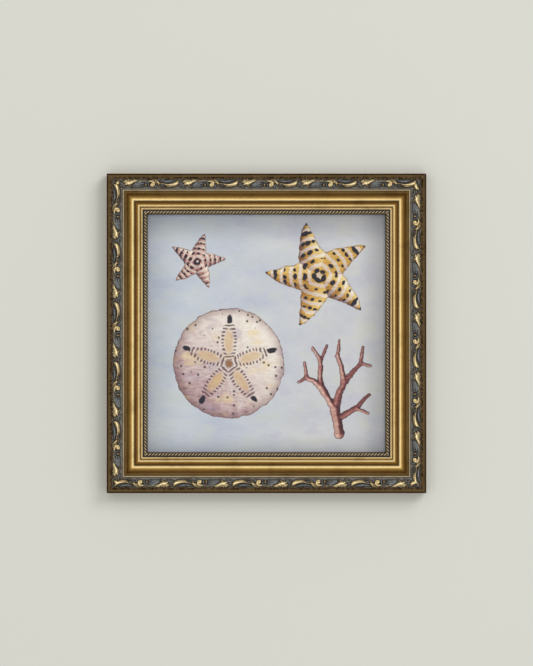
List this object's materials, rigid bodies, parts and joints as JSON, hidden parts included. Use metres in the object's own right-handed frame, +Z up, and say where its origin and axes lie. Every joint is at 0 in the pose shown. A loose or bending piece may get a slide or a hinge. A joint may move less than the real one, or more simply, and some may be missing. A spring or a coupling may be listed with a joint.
{
  "type": "framed picture",
  "caption": "Square gilt picture frame with a running leaf scroll and a rope sight edge, holding a painted canvas board and hung on a wall by a sawtooth hanger.",
  "frame": {"origin": "the top of the hanger's middle notch, where the nail bears, on the wall plane", "axes": "+Z up, +X to the right as seen from the front, +Y into the wall; the picture faces -Y"},
  "size_m": [0.254, 0.0256, 0.254],
  "materials": {
    "gilt": "gilded wood, toned and rubbed, with a grey-blue patina in the scroll's ground",
    "canvas": "matt paint on canvas board",
    "hardboard": "plain hardboard",
    "steel": "bare",
    "brass": "plated, satin",
    "rubber": "matt"
  },
  "bodies": {
    "root": {"rail_top": "gilt", "rail_right": "gilt", "rail_bottom": "gilt", "rail_left": "gilt", "picture_panel": "canvas", "backing_board": "hardboard", "point_top_1": "steel", "point_top_2": "steel", "point_right_1": "steel", "point_right_2": "steel", "point_bottom_1": "steel", "point_bottom_2": "steel", "point_left_1": "steel", "point_left_2": "steel", "hanger": "brass", "hanger_nail_left": "brass", "hanger_nail_right": "brass", "bumper_left": "rubber", "bumper_right": "rubber"}
  },
  "joints": []
}
